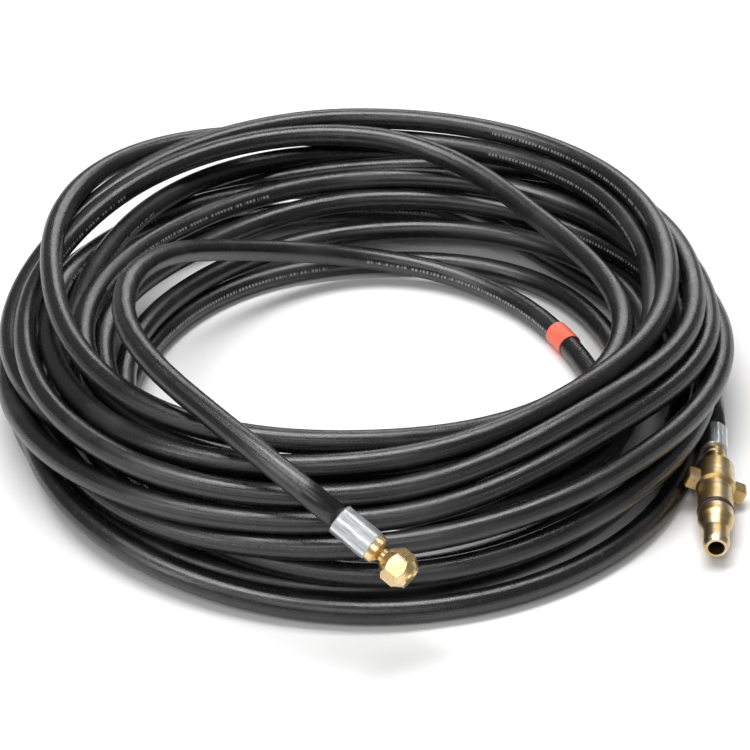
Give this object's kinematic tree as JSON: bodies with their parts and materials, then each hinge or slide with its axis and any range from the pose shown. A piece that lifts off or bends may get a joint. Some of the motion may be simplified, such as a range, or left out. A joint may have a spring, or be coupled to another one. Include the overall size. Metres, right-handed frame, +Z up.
{
  "type": "coiled pipe cleaning hose",
  "caption": "Coil of black high-pressure hose with a brass jet nozzle that screws on one end and a brass bayonet coupling that swivels on the other.",
  "frame": {"origin": "on the floor plane, under the middle of the whole object's box", "axes": "+Z up from the floor, the least extent; the nozzle and the coupling are on the -Y side, and the coupling is on the +X side"},
  "size_m": [0.41, 0.4345, 0.0904],
  "materials": {
    "hose_cover": "satin black extruded rubber",
    "hose_tube": "smooth black rubber",
    "wire_braid": "braided steel wire",
    "marker": "orange-red shrink sleeve",
    "zinc": "bright zinc-plated steel, crimped",
    "bright_brass": "bright turned brass",
    "dark_brass": "turned brass, slightly dulled",
    "seal_rubber": "dark red-brown O-ring rubber",
    "white_seal": "white bearing plastic"
  },
  "bodies": {
    "root": {"hose_coil": "hose_cover", "hose_lead_nozzle": "hose_cover", "hose_lead_coupling": "hose_cover", "marker_band": "marker", "nozzle_ferrule": "zinc", "nozzle_hose_liner": "hose_tube", "nozzle_hose_braid": "wire_braid", "nozzle_hose_cover": "hose_cover", "nozzle_hose_tail": "bright_brass", "coupling_ferrule": "zinc", "coupling_hose_liner": "hose_tube", "coupling_hose_braid": "wire_braid", "coupling_hose_cover": "hose_cover", "coupling_hose_tail": "dark_brass", "swivel_seal": "seal_rubber"},
    "nozzle_seal": {"nozzle_seal": "white_seal"},
    "nozzle": {"nozzle_head": "bright_brass"},
    "coupling": {"thrust_washer": "white_seal", "coupling_cap": "dark_brass", "coupling_body": "dark_brass", "nose_seal": "seal_rubber"}
  },
  "joints": [
    {"name": "coupling_swivel", "type": "hinge", "parent": "root", "child": "coupling", "pos_m": [0.18207, -0.08937, 0.0114], "axis": [-0.1007, -0.9949, 0], "continuous": true},
    {"name": "nozzle_travel", "type": "slide", "parent": "root", "child": "nozzle_seal", "axis": [0.7636, -0.51, -0.396], "range_m": [0, 0.0041]},
    {"name": "nozzle_turn", "type": "hinge", "parent": "nozzle_seal", "child": "nozzle", "pos_m": [0.01362, -0.20778, 0.04835], "axis": [0.7636, -0.51, -0.396], "range_deg": [0, 1620]}
  ],
  "couplings": [
    {"joint": "nozzle_travel", "follows": "nozzle_turn", "m_per_rad": 0.00014435}
  ]
}
